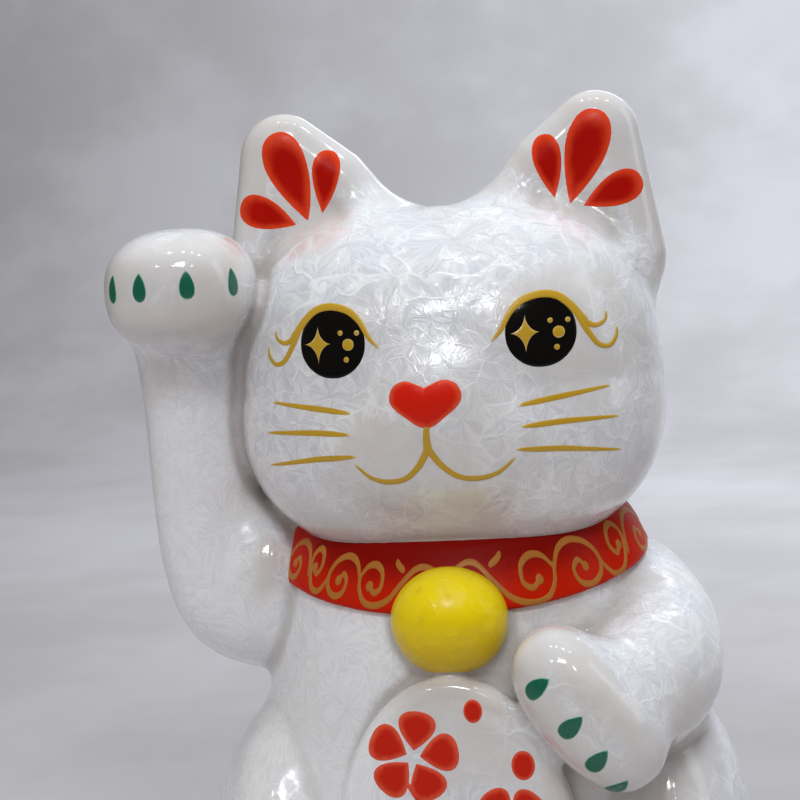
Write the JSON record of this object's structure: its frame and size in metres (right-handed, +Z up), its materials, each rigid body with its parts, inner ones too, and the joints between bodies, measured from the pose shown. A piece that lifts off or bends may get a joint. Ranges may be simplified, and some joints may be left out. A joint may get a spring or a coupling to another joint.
{
  "type": "beckoning cat figurine",
  "caption": "Seated glazed ceramic cat bank with a raised paw, bell collar and oval plaque; coin slot behind the head and a pull-out rubber stopper in the base.",
  "frame": {"origin": "middle of the whole figure's footprint box, at the height of the foot ring it stands on", "axes": "+Z up from the foot ring to the ears, -Y out of the cat's face, +X towards the viewer's right, which is the cat's left"},
  "size_m": [0.1332, 0.118, 0.2046],
  "materials": {
    "white_glaze": "glossy white crystalline glaze with pale blue-grey crystal fans",
    "red_enamel": "glossy orange-red overglaze enamel",
    "yellow_enamel": "glossy yellow overglaze enamel",
    "stopper_rubber": "matt black moulded rubber"
  },
  "bodies": {
    "figurine": {"torso_shell": "white_glaze", "head_shell": "white_glaze", "left_ear": "white_glaze", "right_ear": "white_glaze", "raised_arm": "white_glaze", "lowered_arm": "white_glaze", "left_haunch": "white_glaze", "right_haunch": "white_glaze", "left_foot": "white_glaze", "right_foot": "white_glaze", "tail": "white_glaze", "coin_plaque": "white_glaze", "collar_band": "red_enamel", "nose": "red_enamel", "collar_bell": "yellow_enamel"},
    "stopper": {"base_stopper": "stopper_rubber"}
  },
  "joints": [
    {"name": "stopper_pull", "type": "slide", "parent": "figurine", "child": "stopper", "axis": [0, 0, -1], "range_m": [0, 0.03]}
  ]
}
